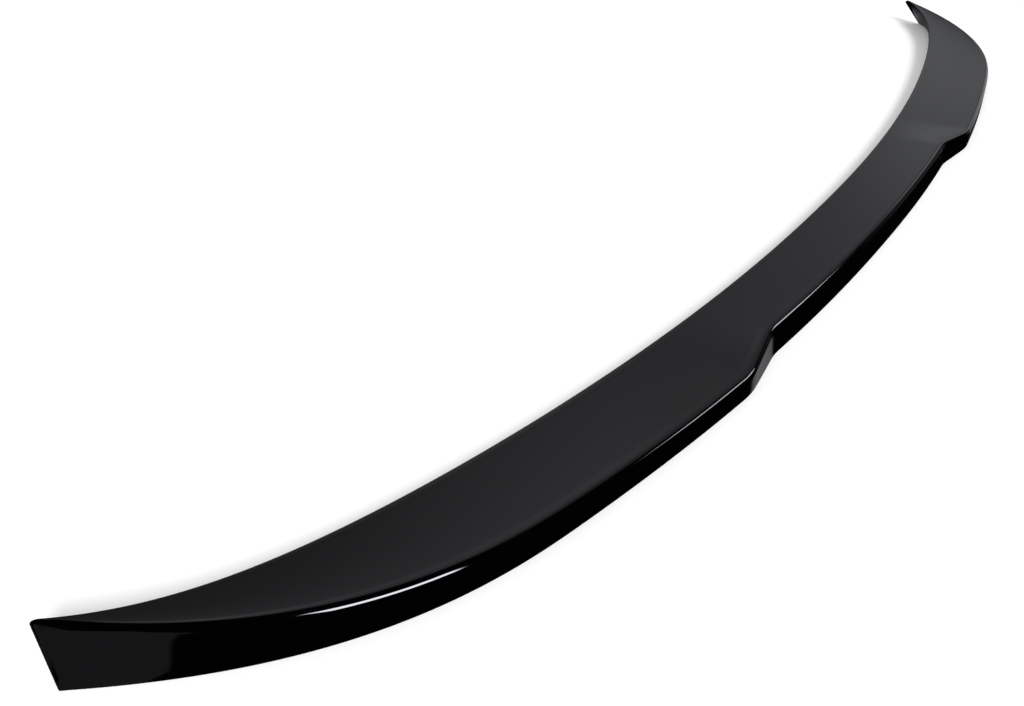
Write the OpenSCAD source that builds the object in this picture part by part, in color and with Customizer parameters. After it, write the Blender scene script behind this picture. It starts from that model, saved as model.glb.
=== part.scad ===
// Boot lid lip spoiler for a saloon car, moulded in one piece in gloss black ABS.
// X runs across the car, +Y points to the front of the car and +Z is up.
// The spoiler rests on the rim of its rear face, as it lies on a bench before it is bonded on.

/* [Width] */
// Width between the two tips, measured along the top
span = 1180; // [1000:10:1300]
// Distance from the middle to where the recessed centre section ends
step_inner = 175; // [140:1:200]
// Distance from the middle to where the full depth of the side section starts
step_outer = 238; // [225:1:300]
// Share of each step that is spent on rounding one of its corners
step_round = 0.25; // [0.1:0.05:0.45]

/* [Plan outline] */
// How far the front edge curves forward from the middle to the tips
bow = 87.5; // [60:0.5:110]
// Power of the bow, where 2 is a parabola
bow_power = 2.15; // [2:0.05:3]
// Extra forward sweep of the tips, past the bow
sweep = 30.5; // [10:0.5:40]
// Power of the tip sweep, where a higher one keeps it nearer to the tips
sweep_power = 14.5; // [8:0.5:20]
// Depth of the side sections, from front edge to rear lip
side_chord = 63; // [52:1:80]
// Depth of the recessed centre section
mid_chord = 49.5; // [42:0.5:52]
// Depth that is left at the blunt tips
tip_chord = 1.3; // [1:0.1:4]
// Distance from the middle to where the side sections start to taper
taper_start = 388; // [300:1:420]
// Power of the taper, where a higher one keeps the depth for longer
taper_power = 2.5; // [2:0.1:4]

/* [Heights] */
// Height of the front edge over the rim, at the middle
front_h = 16.7; // [15:0.1:20]
// Height of the rear lip over the rim, on the centre section
mid_lip_h = 18.5; // [16:0.5:24]
// Height of the rear lip over the rim, on the side sections
side_lip_h = 15.1; // [14:0.1:24]
// Height of the tips over the rim
tip_h = 26.5; // [24:0.5:34]
// Power of the rise to the tips
rise_power = 6.1; // [4:0.1:8]
// Hollow of the top face between front edge and lip
top_dish = 0.8; // [0:0.1:2]
// Radius of the upper corner of each tip, seen from behind
tip_r = 2.2; // [1:0.1:4]

/* [Rear face] */
// Radius of the rear lip
lip_r = 3; // [2:0.1:5]
// How far the rim stands out behind the lip, on the centre section
mid_lean = 2.9; // [0:0.1:6]
// How far the rim stands out behind the lip, on the side sections
side_lean = 0; // [-2:0.5:4]
// How far the rim stands out from the lip, at the tips
tip_lean = 13.5; // [6:0.5:16]
// Power with which the lean grows towards the tips
lean_power = 11; // [6:0.5:14]
// How far the lower corner of each tip is set back along the outline
tip_rake = 13.5; // [4:0.5:18]
// Power with which the set-back grows towards the tips
rake_power = 16; // [10:1:20]
// Radius of the outer edge of the rim
rim_r = 0.8; // [0.4:0.1:1.5]

/* [Front edge] */
// Thickness of the front edge
front_t = 3; // [2.5:0.1:3.5]
// Radius of the front edge
front_r = 1.2; // [0.6:0.1:1.4]
// Distance from the middle to where the front edge grows into the tip's inner wall
tip_wall_start = 500; // [440:5:530]

/* [Shell] */
// Thickness of the top skin
skin = 3; // [2.5:0.1:3.5]
// Thickness of the rear wall
wall = 3; // [2.5:0.1:3.5]
// Width of the solid bonding land behind the front edge
front_land = 13; // [11:0.5:15]
// Width of the flat rim, from the rear face to the inside of its rail
rear_land = 10; // [9:0.5:12]
// Thickness of the rail that carries the inner side of the rim
rail_t = 2; // [1.5:0.1:2.5]
// Thickness of the cross ribs
rib_t = 2; // [1.5:0.1:3]
// Distance from one cross rib to the next
rib_pitch = 45; // [35:1:60]
// Narrowest pocket that is still cored out
least_pocket = 9; // [7:0.5:14]
// Narrowest channel that is still cored out between rear wall and rail
least_channel = 1.2; // [1:0.1:3]

/* [Hidden] */

gloss_black = "#141517";
half_w = span / 2;
// Stations along each half: centre section, step, side section with its tip
mid_stations = 10;
step_stations = 12;
side_stations = 40;
// Points across the top face, round the lip, and round the small edges
top_pts = 5;
lip_pts = 6;
edge_pts = 3;
// Shares of the local depth that the radii may use where the tips get thin
lip_share = 0.42;
edge_share = 0.3;
land_share = 0.35;
// Half the distance over which the slope of the outline is measured
slope_h = 0.5;
// How far a pocket is cut past the rim, and how far it bites into the flat of the rim
cut_over = 5;
rim_bite = 0.5;
// Straight lengths that make up one pocket
pocket_lengths = 3;

// Ramp from 0 to 1 with rounded corners, straight in between
function ramp(t, r) =
    t <= 0 ? 0 :
    t < r ? t * t / (2 * r * (1 - r)) :
    t < 1 - r ? (t - r / 2) / (1 - r) :
    t < 1 ? 1 - (1 - t) * (1 - t) / (2 * r * (1 - r)) : 1;

// Share of the side section's form at distance x from the middle
function side_share(x) = ramp((x - step_inner) / (step_outer - step_inner), step_round);

// Power law from 0 at the middle to 1 at the tips
function grow(x, power) = pow(abs(x) / half_w, power);

// Front edge in plan
function front_y(x) = bow * grow(x, bow_power) + sweep * grow(x, sweep_power);

// What is left of the depth at x, from 1 before the taper to 0 at the tips
function taper(x) = 1 - pow(max(0, (x - taper_start) / (half_w - taper_start)), taper_power);

// Depth from front edge to lip
function chord(x) =
    let(full = mid_chord + (side_chord - mid_chord) * side_share(x))
    tip_chord + (full - tip_chord) * taper(x);

// How far the rounded upper corner of a tip lies below the straight top
function tip_drop(x) =
    let(run = max(0, x - (half_w - tip_r)))
    tip_r - sqrt(max(0, tip_r * tip_r - run * run));

function lip_y(x) = front_y(x) - chord(x);
function front_z(x) = front_h + (tip_h - front_h) * grow(x, rise_power) - tip_drop(x);
function lip_z(x) =
    mid_lip_h + (side_lip_h - mid_lip_h) * side_share(x)
    + (tip_h - side_lip_h) * grow(x, rise_power) - tip_drop(x);

// Slopes of the two outlines in plan, and the stretch that a slope gives a width along Y
function lip_slope(x) = (lip_y(x + slope_h) - lip_y(x - slope_h)) / (2 * slope_h);
function front_slope(x) = (front_y(x + slope_h) - front_y(x - slope_h)) / (2 * slope_h);
function stretch(slope) = sqrt(1 + slope * slope);

// How far the rim stands out behind the lip, square to the outline
function lean(x) =
    mid_lean + (side_lean - mid_lean) * side_share(x) + (tip_lean - side_lean) * grow(x, lean_power);

// Vector from the lip down the rear face to the rim
function drop(x) =
    let(s = lip_slope(x), q = stretch(s), out = lean(x), back = tip_rake * grow(x, rake_power))
    [(s * out - back) / q, (-out - s * back) / q, -lip_z(x)];

// Share of the rear face's height that the front face has at x
function front_share(x) =
    let(t = max(0, (x - tip_wall_start) / (half_w - tip_wall_start)))
    front_t / lip_z(x) + (1 - front_t / lip_z(x)) * t;

// Width of the flat rim along Y
function rim_w(x) = min(rear_land * stretch(lip_slope(x)), land_share * chord(x));

// Rounds the corner p between points that lie "reach" along a and b
function corner(p, a, b, reach, n) =
    [for (i = [0 : n])
        let(t = i / n)
        p + a / norm(a) * reach * (1 - t) * (1 - t) + b / norm(b) * reach * t * t];

// Height of the top face at share s of the depth, from lip (0) to front edge (1)
function top_z(x, s) =
    lip_z(x) + (front_z(x) - lip_z(x)) * s - 4 * s * (1 - s) * top_dish * taper(x);

// Outline of the section at x, as a ring of points round the closed body
function section(x) =
    let(
        c = chord(x),
        d = drop(x),
        lip = [x, lip_y(x), lip_z(x)],
        front = [x, front_y(x), front_z(x)],
        rim = lip + d,
        toe = front + d * front_share(x),
        land = rim + [0, rim_w(x), 0],
        forward = [0, 1, 0],
        lip_reach = min(lip_r, lip_share * c),
        front_reach = min(front_r, edge_share * c),
        rim_reach = min(rim_r, edge_share * c)
    )
    concat(
        [for (i = [1 : top_pts])
            let(
                s0 = lip_reach / c,
                s1 = 1 - front_reach / c,
                s = s1 + (s0 - s1) * (i - 0.5) / top_pts
            )
            [x, lip_y(x) + c * s, top_z(x, s)]],
        corner(lip, [0, c, front_z(x) - lip_z(x)], d, lip_reach, lip_pts),
        corner(rim, -d, forward, rim_reach, edge_pts),
        [land],
        [toe],
        corner(front, d, [0, -c, lip_z(x) - front_z(x)], front_reach, edge_pts)
    );

// Distances from the middle of every station of one half
half_stations = concat(
    [for (i = [0 : mid_stations - 1]) step_inner * i / mid_stations],
    [for (i = [0 : step_stations - 1])
        step_inner + (step_outer - step_inner) * i / step_stations],
    [for (i = [0 : side_stations])
        step_outer + (half_w - step_outer) * sin(90 * i / side_stations)]
);
last = len(half_stations) - 1;
// Both halves as one row, from the left tip to the right one
rings = concat(
    [for (i = [last : -1 : 1]) [for (p = section(half_stations[i])) [-p[0], p[1], p[2]]]],
    [for (x = half_stations) section(x)]
);

// Place of the middle of the body along Y, so that the origin is under its centre
all_y = [for (ring = rings) for (p = ring) p[1]];
mid_y = (min(all_y) + max(all_y)) / 2;

// Closed solid through a row of rings with the same number of points
module loft(row) {
    n = len(row[0]);
    count = len(row);
    points = [for (ring = row) for (p = ring) p];
    sides = [
        for (i = [0 : count - 2])
            for (j = [0 : n - 1])
                let(k = (j + 1) % n)
                [i * n + j, (i + 1) * n + j, (i + 1) * n + k, i * n + k]
    ];
    first_cap = [for (j = [0 : n - 1]) j];
    last_cap = [for (j = [n - 1 : -1 : 0]) (count - 1) * n + j];
    polyhedron(points = points, faces = concat(sides, [first_cap, last_cap]), convexity = 6);
}

// Front and rear bounds of the main pocket and of the channel inside the rear wall, along Y
function pocket_front(x) = front_y(x) - front_land * stretch(front_slope(x));
function wall_front(x) = lip_y(x) + wall * stretch(lip_slope(x));
function rim_shift(x) = lean(x) * stretch(lip_slope(x));
function rail_front(x) = lip_y(x) - rim_shift(x) + rim_w(x) - rim_bite;
function rail_rear(x) = rail_front(x) - rail_t * stretch(lip_slope(x));
// Where the leaning rear wall leaves no room for a channel, the pocket keeps clear of the wall
function pocket_rear(x) = max(rail_front(x), wall_front(x));
function under_skin(x, y) = top_z(x, (y - lip_y(x)) / chord(x)) - skin;
function pocket_w(x) = pocket_front(x) - pocket_rear(x);
function channel_w(x) = rail_rear(x) - wall_front(x);

// Ring of a pocket at x, between y0 and y1 under the skin and y0 - shift at the rim
function pocket_ring(x, y0, y1, shift) =
    let(mid = (y0 + y1) / 2)
    [
        [x, y1, under_skin(x, y1)],
        [x, mid, under_skin(x, mid)],
        [x, y0, under_skin(x, y0)],
        [x, y0 - shift, -cut_over],
        [x, y1, -cut_over]
    ];

// Distances from the middle of the rings that make up a pocket from x0 to x1
function pocket_stations(x0, x1) =
    [for (i = [0 : pocket_lengths]) x0 + (x1 - x0) * i / pocket_lengths];

// Main pocket between two cross ribs, following the curve
module main_pocket(x0, x1) {
    loft([
        for (x = pocket_stations(x0, x1))
            pocket_ring(x, pocket_rear(x), pocket_front(x), pocket_rear(x) - rail_front(x))
    ]);
}

// Channel between the rear wall and the rail, between two cross ribs
module channel_pocket(x0, x1) {
    loft([
        for (x = pocket_stations(x0, x1))
            pocket_ring(x, wall_front(x), rail_rear(x), rim_shift(x))
    ]);
}

// Pockets of one half, as far out as the tapering tip has room for them
module pockets() {
    bays = floor(half_w / rib_pitch);
    for (i = [0 : bays - 1]) {
        x0 = i * rib_pitch + rib_t / 2;
        x1 = (i + 1) * rib_pitch - rib_t / 2;
        if (pocket_w(x1) > least_pocket) main_pocket(x0, x1);
        if (channel_w(x1) > least_channel) channel_pocket(x0, x1);
    }
}

// Moulded body: solid form less the pockets that core it out from below
module spoiler_body() {
    color(gloss_black)
        translate([0, -mid_y, 0])
            difference() {
                loft(rings);
                pockets();
                mirror([1, 0, 0]) pockets();
            }
}

spoiler_body();
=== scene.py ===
"""Studio picture of a boot lid lip spoiler, moulded in one piece in gloss black ABS.

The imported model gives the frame: X across the car, +Y to its front, +Z up, in metres. The spoiler
lies on the rim of its rear face. Its visual body is worked out from the same driving dimensions as
the construction, in far finer steps, so that the gloss shows smooth reflections. Only the lip and the
tips' upper corners are rounder here, by less than 0.5 mm, which widens the bright line along the lip.
"""
import logging
import math
from dataclasses import dataclass
from enum import Enum
from typing import Any

import bpy
import numpy as np
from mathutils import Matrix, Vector


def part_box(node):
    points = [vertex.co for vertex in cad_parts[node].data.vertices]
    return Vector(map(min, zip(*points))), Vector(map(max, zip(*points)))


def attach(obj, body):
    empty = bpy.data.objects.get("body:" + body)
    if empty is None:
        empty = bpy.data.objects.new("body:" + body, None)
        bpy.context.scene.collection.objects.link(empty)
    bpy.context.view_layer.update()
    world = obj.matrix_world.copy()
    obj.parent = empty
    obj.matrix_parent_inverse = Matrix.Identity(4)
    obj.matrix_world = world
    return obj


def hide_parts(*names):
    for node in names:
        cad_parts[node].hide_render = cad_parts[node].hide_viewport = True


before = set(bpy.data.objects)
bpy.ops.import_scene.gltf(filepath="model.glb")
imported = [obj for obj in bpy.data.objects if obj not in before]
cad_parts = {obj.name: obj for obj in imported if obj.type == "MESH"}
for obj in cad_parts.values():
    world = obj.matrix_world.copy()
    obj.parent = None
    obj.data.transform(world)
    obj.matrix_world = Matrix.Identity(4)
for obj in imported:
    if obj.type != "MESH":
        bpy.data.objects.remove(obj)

log = logging.getLogger("lip_spoiler")

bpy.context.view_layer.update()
MM = 0.001
BODY_NODE = "spoiler_body"


class Side(Enum):
    """The two sides of the moulding, which leave the tool with different surfaces."""

    SHOW = 0
    INNER = 1


def linear(hex_colour: str) -> tuple[float, float, float, float]:
    """Turns an sRGB hex colour into linear RGBA, channel by channel.

    Args:
        hex_colour: Six hex digits after a hash.

    Returns:
        Linear red, green, blue and an alpha of 1.
    """
    values = [int(hex_colour[i:i + 2], 16) / 255 for i in (1, 3, 5)]
    lin = [v / 12.92 if v <= 0.04045 else ((v + 0.055) / 1.055) ** 2.4 for v in values]
    return (lin[0], lin[1], lin[2], 1.0)


def add_node(
    tree: bpy.types.NodeTree, kind: str, settings: dict[str, Any] | None = None, **inputs: Any
) -> bpy.types.Node:
    """Adds one shader node with its settings, input values and links.

    Args:
        tree: The node tree that takes the node.
        kind: The node's type name.
        settings: Properties of the node itself, by name.
        **inputs: Input sockets by name, with underscores for spaces. A socket is linked, and any
            other value becomes the socket's own.

    Returns:
        The new node.
    """
    node = tree.nodes.new(kind)
    for name, value in (settings or {}).items():
        setattr(node, name, value)
    for name, value in inputs.items():
        key = int(name[1:]) if name[0] == "i" and name[1:].isdigit() else name.replace("_", " ")
        if isinstance(value, bpy.types.NodeSocket):
            tree.links.new(value, node.inputs[key])
        else:
            node.inputs[key].default_value = value
    return node


def ramp(t: np.ndarray, corner: float) -> np.ndarray:
    """Ramp from 0 to 1 that is straight in between and rounded at both corners.

    The rounded stretches are parabolas that take the share "corner" of the way each, so the slope
    has no jump.

    Args:
        t: Where to work the ramp out, from 0 to 1.
        corner: Share of the way that one rounded corner takes.

    Returns:
        The ramp's height at each t.
    """
    t = np.clip(t, 0, 1)
    bend = 2 * corner * (1 - corner)
    straight = (t - corner / 2) / (1 - corner)
    return np.where(t < corner, t * t / bend, np.where(t < 1 - corner, straight, 1 - (1 - t) ** 2 / bend))


@dataclass(frozen=True)
class LipForm:
    """Driving dimensions of the lip, in millimetres, and the curves that follow from them."""

    # Plan: half the width, the step's place, the front edge's bow and sweep, and the depths
    half_w: float = 590.0
    step_inner: float = 175.0
    step_outer: float = 238.0
    step_round: float = 0.25
    bow: float = 87.5
    bow_power: float = 2.15
    sweep: float = 30.5
    sweep_power: float = 14.5
    side_chord: float = 63.0
    mid_chord: float = 49.5
    tip_chord: float = 1.3
    taper_start: float = 388.0
    taper_power: float = 2.5
    # Heights of the front edge, the lip and the tips, and the hollow of the top
    front_h: float = 16.7
    mid_lip_h: float = 18.5
    side_lip_h: float = 15.1
    tip_h: float = 26.5
    rise_power: float = 6.1
    top_dish: float = 0.8
    # Rounding of the tips' upper corners and of the lip
    tip_r: float = 3.4
    lip_r: float = 4.0
    # How far the rear face leans out at its foot, and the rake of the tip ends
    mid_lean: float = 2.9
    side_lean: float = 0.0
    tip_lean: float = 13.5
    lean_power: float = 11.0
    tip_rake: float = 13.5
    rake_power: float = 16.0
    # Rounding of the rim, and the front edge with its face
    rim_r: float = 0.8
    front_t: float = 3.0
    front_r: float = 1.2
    tip_wall_start: float = 500.0
    # The hidden side: walls, bonding lands, rail, ribs, and the least room for a pocket
    skin: float = 3.0
    wall: float = 3.0
    front_land: float = 13.0
    rear_land: float = 10.0
    rail_t: float = 2.0
    rib_t: float = 2.0
    rib_pitch: float = 45.0
    least_pocket: float = 9.0
    least_channel: float = 1.2
    rim_bite: float = 0.5
    # Shares of the depth that roundings and rim never pass, and half the way that a slope is taken over
    lip_share: float = 0.6
    edge_share: float = 0.3
    land_share: float = 0.35
    slope_h: float = 0.5

    def grow(self, x: np.ndarray, power: float) -> np.ndarray:
        """Power law from 0 at the middle to 1 at the tips: distance over half width, to a power.

        Args:
            x: Distances from the middle, in millimetres.
            power: The power.

        Returns:
            The share at each x.
        """
        return (np.abs(x) / self.half_w) ** power

    def side_share(self, x: np.ndarray) -> np.ndarray:
        """Share of the side section's form, which ramps up over the step.

        Args:
            x: Distances from the middle, in millimetres.

        Returns:
            The share at each x, from 0 to 1.
        """
        return ramp((x - self.step_inner) / (self.step_outer - self.step_inner), self.step_round)

    def front_y(self, x: np.ndarray) -> np.ndarray:
        """Front edge in plan: a bow by one power law, plus a sweep by a higher one.

        Args:
            x: Distances from the middle, in millimetres.

        Returns:
            How far forward the edge is at each x.
        """
        return self.bow * self.grow(x, self.bow_power) + self.sweep * self.grow(x, self.sweep_power)

    def taper(self, x: np.ndarray) -> np.ndarray:
        """What is left of the depth: 1 minus a power of the way from taper start to tip.

        Args:
            x: Distances from the middle, in millimetres.

        Returns:
            The share at each x, from 1 down to 0.
        """
        way = np.maximum(0, (x - self.taper_start) / (self.half_w - self.taper_start))
        return 1 - way ** self.taper_power

    def chord(self, x: np.ndarray) -> np.ndarray:
        """Depth from front edge to lip: the tip's depth, plus the tapered rest of the full depth.

        Args:
            x: Distances from the middle, in millimetres.

        Returns:
            The depth at each x.
        """
        full = self.mid_chord + (self.side_chord - self.mid_chord) * self.side_share(x)
        return self.tip_chord + (full - self.tip_chord) * self.taper(x)

    def lip_y(self, x: np.ndarray) -> np.ndarray:
        """Rear lip in plan: the front edge less the depth.

        Args:
            x: Distances from the middle, in millimetres.

        Returns:
            How far forward the lip is at each x.
        """
        return self.front_y(x) - self.chord(x)

    def tip_drop(self, x: np.ndarray) -> np.ndarray:
        """Drop of the tip's upper corner: its radius less the height of the quarter circle there.

        Args:
            x: Distances from the middle, in millimetres.

        Returns:
            The drop at each x, 0 but for the last few millimetres.
        """
        run = np.maximum(0, x - (self.half_w - self.tip_r))
        return self.tip_r - np.sqrt(np.maximum(0, self.tip_r ** 2 - run ** 2))

    def front_z(self, x: np.ndarray) -> np.ndarray:
        """Height of the front edge: its middle height, plus a rise by a power law, less the tip's drop.

        Args:
            x: Distances from the middle, in millimetres.

        Returns:
            The height at each x.
        """
        rise = (self.tip_h - self.front_h) * self.grow(x, self.rise_power)
        return self.front_h + rise - self.tip_drop(x)

    def lip_z(self, x: np.ndarray) -> np.ndarray:
        """Height of the lip: centre or side height, plus the rise to the tip, less the tip's drop.

        Args:
            x: Distances from the middle, in millimetres.

        Returns:
            The height at each x.
        """
        base = self.mid_lip_h + (self.side_lip_h - self.mid_lip_h) * self.side_share(x)
        return base + (self.tip_h - self.side_lip_h) * self.grow(x, self.rise_power) - self.tip_drop(x)

    def slope(self, curve: Any, x: np.ndarray) -> np.ndarray:
        """Slope of a plan curve: its difference over a short way to both sides of x, by that way.

        Args:
            curve: The curve, as a function of x.
            x: Distances from the middle, in millimetres.

        Returns:
            The slope at each x.
        """
        return (curve(x + self.slope_h) - curve(x - self.slope_h)) / (2 * self.slope_h)

    def stretch(self, curve: Any, x: np.ndarray) -> np.ndarray:
        """Length along Y of a width of 1 square to a plan curve: root of 1 plus the slope squared.

        Args:
            curve: The curve, as a function of x.
            x: Distances from the middle, in millimetres.

        Returns:
            The factor at each x.
        """
        return np.sqrt(1 + self.slope(curve, x) ** 2)

    def lean(self, x: np.ndarray) -> np.ndarray:
        """How far the rim stands out behind the lip, square to the outline, growing by a power law.

        Args:
            x: Distances from the middle, in millimetres.

        Returns:
            The lean at each x.
        """
        base = self.mid_lean + (self.side_lean - self.mid_lean) * self.side_share(x)
        return base + (self.tip_lean - self.side_lean) * self.grow(x, self.lean_power)

    def drop(self, x: np.ndarray) -> np.ndarray:
        """Way from the lip down to the rim: the lean along the outward normal in plan, less the rake
        along the outline, and down by the lip's height.

        Args:
            x: Distances from the middle, in millimetres.

        Returns:
            One vector for each x.
        """
        slope = self.slope(self.lip_y, x)
        size = self.stretch(self.lip_y, x)
        out = self.lean(x)
        back = self.tip_rake * self.grow(x, self.rake_power)
        return np.stack([(slope * out - back) / size, (-out - slope * back) / size, -self.lip_z(x)], axis=1)

    def front_share(self, x: np.ndarray) -> np.ndarray:
        """Share of the rear face's height that the front face has: thin, then up to all at the tip.

        Args:
            x: Distances from the middle, in millimetres.

        Returns:
            The share at each x.
        """
        way = np.maximum(0, (x - self.tip_wall_start) / (self.half_w - self.tip_wall_start))
        thin = self.front_t / self.lip_z(x)
        return thin + (1 - thin) * way

    def rim_w(self, x: np.ndarray) -> np.ndarray:
        """Width of the flat rim along Y: its set width, or a share of the depth where that is less.

        Args:
            x: Distances from the middle, in millimetres.

        Returns:
            The width at each x.
        """
        return np.minimum(self.rear_land * self.stretch(self.lip_y, x), self.land_share * self.chord(x))

    def top_z(self, x: np.ndarray, share: np.ndarray) -> np.ndarray:
        """Height of the top face: a straight line from lip to front edge less a shallow parabola.

        Args:
            x: Distances from the middle, in millimetres.
            share: Shares of the depth, from 0 at the lip to 1 at the front edge.

        Returns:
            The height at each x and share.
        """
        line = self.lip_z(x) + (self.front_z(x) - self.lip_z(x)) * share
        return line - 4 * share * (1 - share) * self.top_dish * self.taper(x)

    def rail_shift(self, x: np.ndarray) -> np.ndarray:
        """How far the main pocket's rear side moves back along Y, from the skin down to the rim.

        Args:
            x: Distances from the middle, in millimetres.

        Returns:
            The shift at each x.
        """
        return self.pocket_rear(x) - self.rail_front(x)

    def under_skin(self, x: np.ndarray, y: np.ndarray) -> np.ndarray:
        """Height of the inner side of the top skin: the top face less the skin.

        Args:
            x: Distances from the middle, in millimetres.
            y: Places along Y.

        Returns:
            The height at each x and y.
        """
        return self.top_z(x, (y - self.lip_y(x)) / self.chord(x)) - self.skin

    def pocket_front(self, x: np.ndarray) -> np.ndarray:
        """Where the bonding land behind the front edge ends, along Y.

        Args:
            x: Distances from the middle, in millimetres.

        Returns:
            The place at each x.
        """
        return self.front_y(x) - self.front_land * self.stretch(self.front_y, x)

    def wall_front(self, x: np.ndarray) -> np.ndarray:
        """Inner side of the rear wall under the skin, along Y.

        Args:
            x: Distances from the middle, in millimetres.

        Returns:
            The place at each x.
        """
        return self.lip_y(x) + self.wall * self.stretch(self.lip_y, x)

    def rim_shift(self, x: np.ndarray) -> np.ndarray:
        """How far the rear wall moves back along Y from the skin down to the rim.

        Args:
            x: Distances from the middle, in millimetres.

        Returns:
            The shift at each x.
        """
        return self.lean(x) * self.stretch(self.lip_y, x)

    def rail_front(self, x: np.ndarray) -> np.ndarray:
        """Front side of the rail that carries the inner side of the rim, along Y.

        Args:
            x: Distances from the middle, in millimetres.

        Returns:
            The place at each x.
        """
        return self.lip_y(x) - self.rim_shift(x) + self.rim_w(x) - self.rim_bite

    def rail_rear(self, x: np.ndarray) -> np.ndarray:
        """Rear side of that rail, along Y.

        Args:
            x: Distances from the middle, in millimetres.

        Returns:
            The place at each x.
        """
        return self.rail_front(x) - self.rail_t * self.stretch(self.lip_y, x)

    def pocket_rear(self, x: np.ndarray) -> np.ndarray:
        """Rear side of the main pocket under the skin, clear of the leaning rear wall.

        Args:
            x: Distances from the middle, in millimetres.

        Returns:
            The place at each x.
        """
        return np.maximum(self.rail_front(x), self.wall_front(x))


def rounded(
    point: np.ndarray, before: np.ndarray, after: np.ndarray, reach: np.ndarray, steps: int
) -> np.ndarray:
    """Rounds a corner with a parabola between one point on each of its two sides.

    With t from 0 to 1 the curve is the corner, plus (1 - t) squared of the reach along the first
    side, plus t squared of the reach along the second.

    Args:
        point: Corner points, one row each.
        before: Directions of the side that the ring comes from.
        after: Directions of the side that the ring goes on to.
        reach: How far the rounding reaches along both sides.
        steps: Number of stretches.

    Returns:
        Points of shape rows, steps + 1, 3.
    """
    t = np.linspace(0, 1, steps + 1)[None, :, None]
    a = (before / np.linalg.norm(before, axis=1, keepdims=True))[:, None, :]
    b = (after / np.linalg.norm(after, axis=1, keepdims=True))[:, None, :]
    return point[:, None, :] + reach[:, None, None] * (a * (1 - t) ** 2 + b * t ** 2)


def loft_faces(stations: int, ring: int, start: int = 0) -> tuple[list, list]:
    """Faces of a closed loft: quads between neighbouring rings and one cap at each end.

    Args:
        stations: Number of rings.
        ring: Points in one ring.
        start: Index of the loft's first point.

    Returns:
        The quads and the two caps, as lists of point indices.
    """
    i = np.arange(stations - 1)[:, None] * ring + start
    j = np.arange(ring)[None, :]
    k = (j + 1) % ring
    quads = np.stack([i + j, i + k, i + ring + k, i + ring + j], axis=-1).reshape(-1, 4)
    first = (start + np.arange(ring)[::-1]).tolist()
    final = (start + (stations - 1) * ring + np.arange(ring)).tolist()
    return quads.tolist(), [first, final]


def mesh_object(name: str, points: np.ndarray, faces: list) -> bpy.types.Object:
    """Makes a mesh object at the origin from points in millimetres.

    Args:
        name: Name of the object and its mesh.
        points: Points, one row each, in millimetres.
        faces: Faces as lists of point indices.

    Returns:
        The new object, linked to the scene.
    """
    mesh = bpy.data.meshes.new(name)
    mesh.from_pydata((points.reshape(-1, 3) * MM).tolist(), [], faces)
    mesh.validate()
    mesh.update()
    obj = bpy.data.objects.new(name, mesh)
    bpy.context.scene.collection.objects.link(obj)
    return obj


@dataclass(frozen=True)
class GlossAbs:
    """Injection-moulded ABS in piano black, from a polished tool.

    The polished skin gives the eye clear reflections that waver a little, because a moulding of this
    length sinks and ripples, and a faint fine peel where the plastic skinned over.
    """

    colour: str = "#010102"
    roughness: float = 0.05
    ior: float = 1.53
    ripple_mm: float = 70.0
    ripple_depth_mm: float = 0.02
    ripple_detail: float = 1.0
    peel_mm: float = 3.0
    peel_depth_mm: float = 0.0006
    peel_detail: float = 2.0

    def make(self) -> bpy.types.Material:
        """Builds the material.

        Returns:
            The gloss material, which reads Object coordinates.
        """
        mat = bpy.data.materials.new("gloss_black_moulded_abs")
        mat.use_nodes = True
        tree = mat.node_tree
        tree.nodes.clear()
        place = add_node(tree, "ShaderNodeTexCoord").outputs["Object"]
        ripple = add_node(
            tree, "ShaderNodeTexNoise", {"noise_dimensions": "3D"},
            Vector=place, Scale=1 / (self.ripple_mm * MM), Detail=self.ripple_detail,
        )
        peel = add_node(
            tree, "ShaderNodeTexNoise",
            Vector=place, Scale=1 / (self.peel_mm * MM), Detail=self.peel_detail,
        )
        coarse = add_node(
            tree, "ShaderNodeBump", Height=ripple.outputs["Fac"],
            Strength=1.0, Distance=self.ripple_depth_mm * MM,
        )
        fine = add_node(
            tree, "ShaderNodeBump", Height=peel.outputs["Fac"], Normal=coarse.outputs["Normal"],
            Strength=1.0, Distance=self.peel_depth_mm * MM,
        )
        skin = add_node(
            tree, "ShaderNodeBsdfPrincipled", Base_Color=linear(self.colour),
            Roughness=self.roughness, IOR=self.ior, Normal=fine.outputs["Normal"],
        )
        add_node(tree, "ShaderNodeOutputMaterial", Surface=skin.outputs["BSDF"])
        return mat


@dataclass(frozen=True)
class SatinAbs:
    """The same ABS on the hidden side, from the spark-eroded core of the tool.

    The eroded core gives the eye an even dark satin with a fine grain and no clear reflections.
    """

    colour: str = "#101113"
    roughness: float = 0.42
    ior: float = 1.53
    grain_mm: float = 0.9
    grain_depth_mm: float = 0.02
    grain_detail: float = 3.0

    def make(self) -> bpy.types.Material:
        """Builds the material.

        Returns:
            The satin material, which reads Object coordinates.
        """
        mat = bpy.data.materials.new("satin_black_moulded_abs")
        mat.use_nodes = True
        tree = mat.node_tree
        tree.nodes.clear()
        place = add_node(tree, "ShaderNodeTexCoord").outputs["Object"]
        grain = add_node(
            tree, "ShaderNodeTexNoise",
            Vector=place, Scale=1 / (self.grain_mm * MM), Detail=self.grain_detail,
        )
        bump = add_node(
            tree, "ShaderNodeBump", Height=grain.outputs["Fac"],
            Strength=1.0, Distance=self.grain_depth_mm * MM,
        )
        skin = add_node(
            tree, "ShaderNodeBsdfPrincipled", Base_Color=linear(self.colour),
            Roughness=self.roughness, IOR=self.ior, Normal=bump.outputs["Normal"],
        )
        add_node(tree, "ShaderNodeOutputMaterial", Surface=skin.outputs["BSDF"])
        return mat


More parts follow.
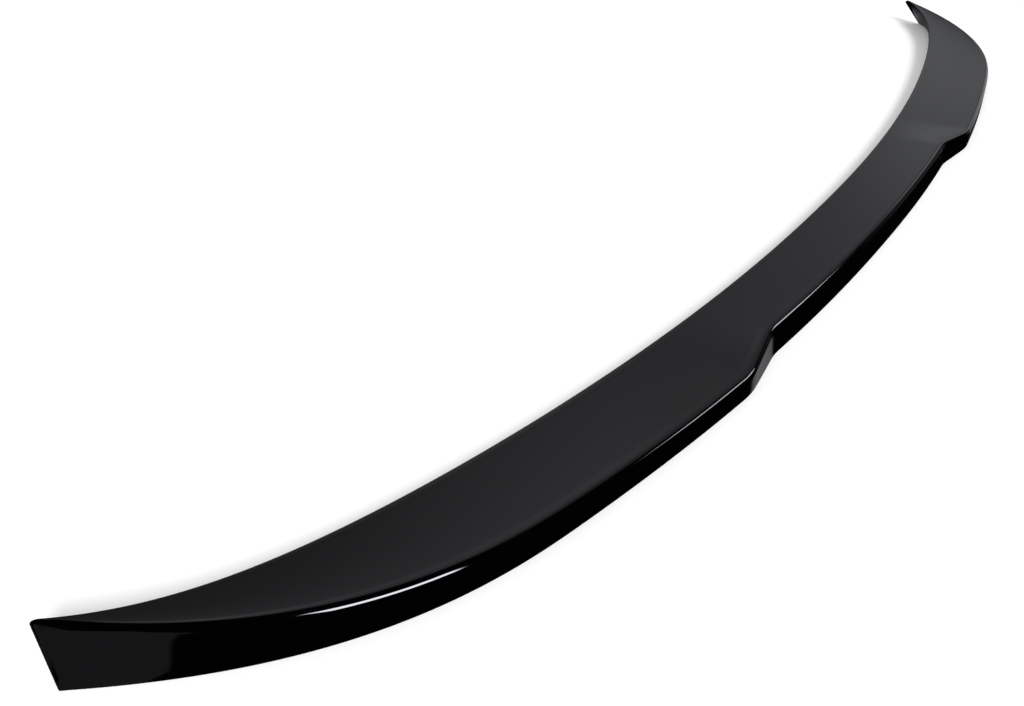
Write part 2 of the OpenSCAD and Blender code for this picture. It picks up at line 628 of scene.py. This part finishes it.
@dataclass
class SpoilerBody:
    """The moulded body: its closed outer form, less the pockets that core it out from below."""

    form: LipForm
    # Sections along one half: the centre, the step and the side
    mid_steps: int = 60
    step_steps: int = 60
    side_steps: int = 220
    # Points round one section
    top_steps: int = 18
    lip_steps: int = 12
    face_steps: int = 6
    edge_steps: int = 4
    under_steps: int = 6
    # Sections of a pocket, points over its roof, and how far it is cut past the rim
    pocket_steps: int = 8
    pocket_top_steps: int = 6
    cut_over: float = 5.0
    # Edges that turn by more than this stay sharp in the shading
    sharp_deg: float = 34.0

    def stations(self) -> np.ndarray:
        """Distances from the middle of every section of one half, closer together at the tip.

        Returns:
            The distances in millimetres, from 0 to the tip.
        """
        form = self.form
        mid = np.linspace(0, form.step_inner, self.mid_steps, endpoint=False)
        step = np.linspace(form.step_inner, form.step_outer, self.step_steps, endpoint=False)
        turn = np.linspace(0, math.pi / 2, self.side_steps + 1)
        side = form.step_outer + (form.half_w - form.step_outer) * np.sin(turn)
        return np.concatenate([mid, step, side])

    def half_rings(self, x: np.ndarray) -> np.ndarray:
        """Sections of the closed outer form at x.

        Each ring runs over the top from front to rear, round the lip, down the rear face, round the
        rim, along the flat rim and the underside to the front edge, and round that.

        Args:
            x: Distances from the middle.

        Returns:
            Points of shape sections, ring, 3, in millimetres.
        """
        form = self.form
        chord = form.chord(x)
        drop = form.drop(x)
        lip = np.stack([x, form.lip_y(x), form.lip_z(x)], axis=1)
        front = np.stack([x, form.front_y(x), form.front_z(x)], axis=1)
        rim = lip + drop
        toe = front + drop * form.front_share(x)[:, None]
        forward = np.tile([0.0, 1.0, 0.0], (len(x), 1))
        land = rim + forward * form.rim_w(x)[:, None]
        lip_reach = np.minimum(form.lip_r, form.lip_share * chord)
        front_reach = np.minimum(form.front_r, form.edge_share * chord)
        rim_reach = np.minimum(form.rim_r, form.edge_share * chord)

        share0 = lip_reach / chord
        share1 = 1 - front_reach / chord
        t = np.linspace(0, 1, self.top_steps + 2)[None, 1:-1]
        share = share1[:, None] + (share0 - share1)[:, None] * t
        wide = np.repeat(x[:, None], share.shape[1], axis=1)
        top = np.stack(
            [wide, form.lip_y(x)[:, None] + chord[:, None] * share, form.top_z(wide, share)], axis=2
        )

        lip_arc = rounded(lip, front - lip, drop, lip_reach, self.lip_steps)
        rim_arc = rounded(rim, -drop, forward, rim_reach, self.edge_steps)
        front_arc = rounded(front, drop, lip - front, front_reach, self.edge_steps)

        def between(a: np.ndarray, b: np.ndarray, steps: int) -> np.ndarray:
            """Points on the straight lines from a to b, without their ends.

            Args:
                a: Points where the lines start.
                b: Points where they end.
                steps: Number of stretches.

            Returns:
                Points of shape rows, steps - 1, 3.
            """
            t = np.linspace(0, 1, steps + 1)[None, 1:-1, None]
            return a[:, None, :] + (b - a)[:, None, :] * t

        return np.concatenate(
            [
                top,
                lip_arc,
                between(lip_arc[:, -1], rim_arc[:, 0], self.face_steps),
                rim_arc,
                land[:, None, :],
                between(land, toe, self.under_steps),
                toe[:, None, :],
                between(toe, front_arc[:, 0], self.face_steps),
                front_arc,
            ],
            axis=1,
        )

    def outer_rings(self) -> np.ndarray:
        """Sections of both halves, from the left tip to the right one.

        Returns:
            Points of shape sections, ring, 3, in millimetres.
        """
        right = self.half_rings(self.stations())
        left = right[:0:-1] * np.array([-1.0, 1.0, 1.0])
        return np.concatenate([left, right])

    def frame_shift(self, rings: np.ndarray) -> np.ndarray:
        """How far the form moves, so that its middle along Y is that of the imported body.

        Args:
            rings: Sections of the whole outer form.

        Returns:
            The shift in millimetres.
        """
        low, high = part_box(BODY_NODE)
        mid = (rings[..., 1].min() + rings[..., 1].max()) / 2
        return np.array([0.0, (low[1] + high[1]) / 2 / MM - mid, 0.0])

    def pocket_rings(self, x0: float, x1: float, rear: Any, ahead: Any, shift: Any) -> np.ndarray:
        """Sections of one pocket from x0 to x1, open past the rim, with a rounded roof.

        Args:
            x0: Where the pocket starts.
            x1: Where the pocket ends.
            rear: Curve of its rear side under the skin.
            ahead: Curve of its front side.
            shift: Curve of how far the rear side moves back on its way down to the rim.

        Returns:
            Points of shape sections, ring, 3, in millimetres.
        """
        x = np.linspace(x0, x1, self.pocket_steps)
        y0 = rear(x)
        y1 = ahead(x)
        t = np.linspace(0, 1, self.pocket_top_steps + 1)[None, :]
        y = y1[:, None] + (y0 - y1)[:, None] * t
        wide = np.repeat(x[:, None], y.shape[1], axis=1)
        roof = np.stack([wide, y, self.form.under_skin(wide, y)], axis=2)
        low = np.full_like(x, -self.cut_over)
        foot_rear = np.stack([x, y0 - shift(x), low], axis=1)[:, None, :]
        foot_ahead = np.stack([x, y1, low], axis=1)[:, None, :]
        return np.concatenate([foot_ahead, roof, foot_rear], axis=1)

    def pockets(self) -> list[np.ndarray]:
        """Every pocket of both halves, between the cross ribs, as far out as there is room.

        Returns:
            One array of sections for each pocket.
        """
        form = self.form
        found = []
        for i in range(int(form.half_w // form.rib_pitch)):
            x0 = i * form.rib_pitch + form.rib_t / 2
            x1 = (i + 1) * form.rib_pitch - form.rib_t / 2
            end = np.array([x1])
            if (form.pocket_front(end) - form.pocket_rear(end))[0] > form.least_pocket:
                found.append(
                    self.pocket_rings(x0, x1, form.pocket_rear, form.pocket_front, form.rail_shift)
                )
            if (form.rail_rear(end) - form.wall_front(end))[0] > form.least_channel:
                found.append(self.pocket_rings(x0, x1, form.wall_front, form.rail_rear, form.rim_shift))
        mirrored = [ring[::-1] * np.array([-1.0, 1.0, 1.0]) for ring in found]
        return found + mirrored

    def build(self) -> bpy.types.Object:
        """Makes the body: the closed outer form with the pockets cut out of it.

        Returns:
            The finished object, smooth but for its real edges.
        """
        rings = self.outer_rings()
        shift = self.frame_shift(rings)
        quads, caps = loft_faces(rings.shape[0], rings.shape[1])
        body = mesh_object("lip_spoiler", rings + shift, quads + caps)

        points = []
        faces = []
        start = 0
        for ring in self.pockets():
            sides, ends = loft_faces(ring.shape[0], ring.shape[1], start)
            points.append(ring.reshape(-1, 3) + shift)
            faces += sides + ends
            start += ring.shape[0] * ring.shape[1]
        cutter = mesh_object("pocket_cutter", np.concatenate(points), faces)

        gloss = GlossAbs().make()
        satin = SatinAbs().make()
        for obj, side in ((body, Side.SHOW), (cutter, Side.INNER)):
            obj.data.materials.append(gloss)
            obj.data.materials.append(satin)
            obj.data.polygons.foreach_set("material_index", np.full(len(obj.data.polygons), side.value))

        cut = body.modifiers.new("core_out", "BOOLEAN")
        cut.operation = "DIFFERENCE"
        cut.solver = "EXACT"
        cut.object = cutter
        seen = body.evaluated_get(bpy.context.evaluated_depsgraph_get())
        finished = bpy.data.meshes.new_from_object(seen)
        body.modifiers.clear()
        body.data = finished
        bpy.data.objects.remove(cutter)
        finished.name = "lip_spoiler"
        finished.polygons.foreach_set("use_smooth", np.ones(len(finished.polygons), dtype=bool))
        finished.set_sharp_from_angle(angle=math.radians(self.sharp_deg))
        return body


@dataclass(frozen=True)
class Panel:
    """A far studio panel, given by where it stands in the sky of the object.

    Its sides are measured as angles from its centre, so that it is a rectangle with soft edges. Every
    angle is in degrees, and a level of 1 is white.
    """

    name: str
    heading: float
    height: float
    half_wide: float
    half_tall: float
    level: float
    soft: float = 2.0
    roll: float = 0.0

    def add(self, tree: bpy.types.NodeTree, way: bpy.types.NodeSocket) -> bpy.types.NodeSocket:
        """Adds the panel's brightness to the surroundings' node tree.

        Args:
            tree: The node tree of the surroundings.
            way: Socket with the direction that is looked in.

        Returns:
            Socket with the panel's brightness in that direction.
        """
        turned = add_node(
            tree, "ShaderNodeVectorRotate", {"rotation_type": "EULER_XYZ", "invert": True},
            Vector=way,
            Rotation=(math.radians(self.roll), math.radians(-self.height), math.radians(self.heading)),
        )
        turned.label = self.name
        axes = add_node(tree, "ShaderNodeSeparateXYZ", Vector=turned.outputs["Vector"])
        across = add_node(
            tree, "ShaderNodeMath", {"operation": "ARCTAN2"}, i0=axes.outputs["Y"], i1=axes.outputs["X"]
        )
        up = add_node(tree, "ShaderNodeMath", {"operation": "ARCSINE"}, i0=axes.outputs["Z"])
        shares = []
        for angle, half in ((across, self.half_wide), (up, self.half_tall)):
            away = add_node(tree, "ShaderNodeMath", {"operation": "ABSOLUTE"}, i0=angle.outputs["Value"])
            edge = add_node(
                tree, "ShaderNodeMapRange", {"interpolation_type": "SMOOTHSTEP"},
                Value=away.outputs["Value"],
                From_Min=math.radians(half - self.soft), From_Max=math.radians(half + self.soft),
                To_Min=1.0, To_Max=0.0,
            )
            shares.append(edge.outputs["Result"])
        both = add_node(tree, "ShaderNodeMath", {"operation": "MULTIPLY"}, i0=shares[0], i1=shares[1])
        lit = add_node(
            tree, "ShaderNodeMath", {"operation": "MULTIPLY"}, i0=both.outputs["Value"], i1=self.level
        )
        return lit.outputs["Value"]


def aim(obj: bpy.types.Object, place: np.ndarray, forward: np.ndarray) -> None:
    """Puts a lamp or camera in place and turns its view along a direction, with no roll.

    Args:
        obj: The lamp or camera, which looks along its own -Z.
        place: Where it goes, in metres.
        forward: The direction that it looks along.
    """
    obj.location = place.tolist()
    obj.rotation_euler = Vector(forward.tolist()).to_track_quat("-Z", "Y").to_euler()


@dataclass(frozen=True)
class Studio:
    """White floor, dark room with its panels, and the camera."""

    # Floor: its side in metres, its colour, and what is added to it for the camera alone
    floor_size: float = 12.0
    floor_colour: str = "#F4F4F4"
    floor_lift: float = 0.15
    # Light from all round, and the dark room that the gloss shows
    dome_level: float = 0.63
    room_level: float = 0.002
    room_tint: str = "#F8FAFF"
    # Key light: where it stands, as heading and height, how wide it looks, and its strength
    key_heading: float = -132.0
    key_height: float = 36.0
    key_wide: float = 18.0
    key_strength: float = 2.5
    # Camera place in metres, heading from +X towards +Y and tilt below the horizon
    camera_place: tuple[float, float, float] = (-0.7494, -0.26575, 0.36495)
    camera_heading: float = 34.042
    camera_tilt: float = 32.309
    lens_mm: float = 38.763
    sensor_mm: float = 36.0
    near_m: float = 0.01

    def panels(self) -> tuple[Panel, ...]:
        """The panels of the room, as seen in the gloss.

        Returns:
            Every panel, with angles in degrees.
        """
        return (
            Panel("pale_wall", 30.6, 28, 33.8, 26, 0.2, 6.5),
            Panel("wall_glow", 17.1, 14.4, 39.1, 35.6, 0.07, 4.5, -23.7),
            Panel("high_glow", 43.5, 31, 14.6, 4.4, 0.26, 7, -22.6),
            Panel("far_glow", 12.5, 16, 5, 5, 0.12, 4),
            Panel("rear_softbox", -103.3, 27.2, 15, 13.5, 20.0, 1.3),
            Panel("side_strip", -38, 25.6, 10.7, 5.2, 7.5, 0.9),
            Panel("far_card", -6, 5.4, 5.9, 20.5, 0.45, 1.8),
            Panel("grey_flag", -176.4, -8.7, 27.2, 12.3, 0.165, 0.7, 27.5),
            Panel("floor_far_end", 8, -33, 22, 7, 0.27, 4.2),
            Panel("tip_card", 116, -43, 14, 12, 0.06, 3),
        )

    def make_floor(self) -> None:
        """Lays the floor, white to the camera, and keeps it out of the gloss."""
        half = self.floor_size / 2 / MM
        corners = np.array([[-half, -half, 0], [half, -half, 0], [half, half, 0], [-half, half, 0]])
        floor = mesh_object("studio_floor", corners, [[0, 1, 2, 3]])
        mat = bpy.data.materials.new("white_paper_sweep")
        mat.use_nodes = True
        tree = mat.node_tree
        tree.nodes.clear()
        paper = add_node(tree, "ShaderNodeBsdfDiffuse", Color=linear(self.floor_colour))
        path = add_node(tree, "ShaderNodeLightPath")
        lift = add_node(
            tree, "ShaderNodeMath", {"operation": "MULTIPLY"},
            i0=path.outputs["Is Camera Ray"], i1=self.floor_lift,
        )
        glow = add_node(tree, "ShaderNodeEmission", Strength=lift.outputs["Value"])
        both = add_node(tree, "ShaderNodeAddShader", i0=paper.outputs["BSDF"], i1=glow.outputs["Emission"])
        add_node(tree, "ShaderNodeOutputMaterial", Surface=both.outputs["Shader"])
        floor.data.materials.append(mat)
        floor.visible_glossy = False

    def make_key(self) -> None:
        """Lights the floor from behind the lip, which gives the short shadow in front of it.

        The gloss shows the panel that stands for this lamp, so that the lamp itself is kept out of it.
        """
        heading = math.radians(self.key_heading)
        height = math.radians(self.key_height)
        towards = np.array([
            math.cos(heading) * math.cos(height), math.sin(heading) * math.cos(height), math.sin(height)
        ])
        lamp = bpy.data.lights.new("key_light", "SUN")
        lamp.energy = self.key_strength
        lamp.angle = math.radians(self.key_wide)
        key = bpy.data.objects.new("key_light", lamp)
        aim(key, towards, -towards)
        key.visible_glossy = False
        bpy.context.scene.collection.objects.link(key)

    def make_surroundings(self) -> None:
        """Sets the dark room and its panels, which the gloss shows, and a plain even dome elsewhere."""
        world = bpy.data.worlds.new("studio_surroundings")
        bpy.context.scene.world = world
        world.use_nodes = True
        tree = world.node_tree
        tree.nodes.clear()
        way = add_node(tree, "ShaderNodeTexCoord").outputs["Generated"]
        level = add_node(tree, "ShaderNodeValue").outputs["Value"]
        level.default_value = self.room_level
        for panel in self.panels():
            lit = panel.add(tree, way)
            total = add_node(tree, "ShaderNodeMath", {"operation": "ADD"}, i0=level, i1=lit)
            level = total.outputs["Value"]
        path = add_node(tree, "ShaderNodeLightPath")
        room = add_node(
            tree, "ShaderNodeMix", {"data_type": "FLOAT"},
            Factor=path.outputs["Is Glossy Ray"], i2=self.dome_level, i3=level,
        )
        seen = add_node(
            tree, "ShaderNodeMath", {"operation": "MAXIMUM"},
            i0=path.outputs["Is Camera Ray"], i1=path.outputs["Is Transmission Ray"],
        )
        shown = add_node(
            tree, "ShaderNodeMix", {"data_type": "FLOAT"},
            Factor=seen.outputs["Value"], i2=room.outputs["Result"], i3=1.0,
        )
        tint = add_node(
            tree, "ShaderNodeMix", {"data_type": "RGBA"},
            Factor=path.outputs["Is Glossy Ray"], i6=(1.0, 1.0, 1.0, 1.0), i7=linear(self.room_tint),
        )
        back = add_node(
            tree, "ShaderNodeBackground", Strength=shown.outputs["Result"], Color=tint.outputs[2]
        )
        add_node(tree, "ShaderNodeOutputWorld", Surface=back.outputs["Background"])

    def make_camera(self) -> None:
        """Sets up the camera where the photo was taken from."""
        heading = math.radians(self.camera_heading)
        tilt = math.radians(self.camera_tilt)
        forward = np.array([
            math.cos(heading) * math.cos(tilt), math.sin(heading) * math.cos(tilt), -math.sin(tilt)
        ])
        lens = bpy.data.cameras.new("camera")
        lens.lens = self.lens_mm
        lens.sensor_width = self.sensor_mm
        lens.clip_start = self.near_m
        camera = bpy.data.objects.new("camera", lens)
        aim(camera, np.array(self.camera_place), forward)
        bpy.context.scene.collection.objects.link(camera)
        bpy.context.scene.camera = camera

    def build(self) -> None:
        """Sets up floor, key light, surroundings and camera."""
        self.make_camera()
        self.make_floor()
        self.make_key()
        self.make_surroundings()
        bpy.context.scene.view_settings.view_transform = "Standard"


def main() -> None:
    """Builds the spoiler and its studio, and reports each piece."""
    logging.basicConfig(level=logging.INFO, format="%(message)s")
    body = SpoilerBody(LipForm()).build()
    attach(body, "root")
    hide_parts(BODY_NODE)
    log.info("%s: %d faces", body.name, len(body.data.polygons))
    Studio().build()


if __name__ == "__main__":
    main()
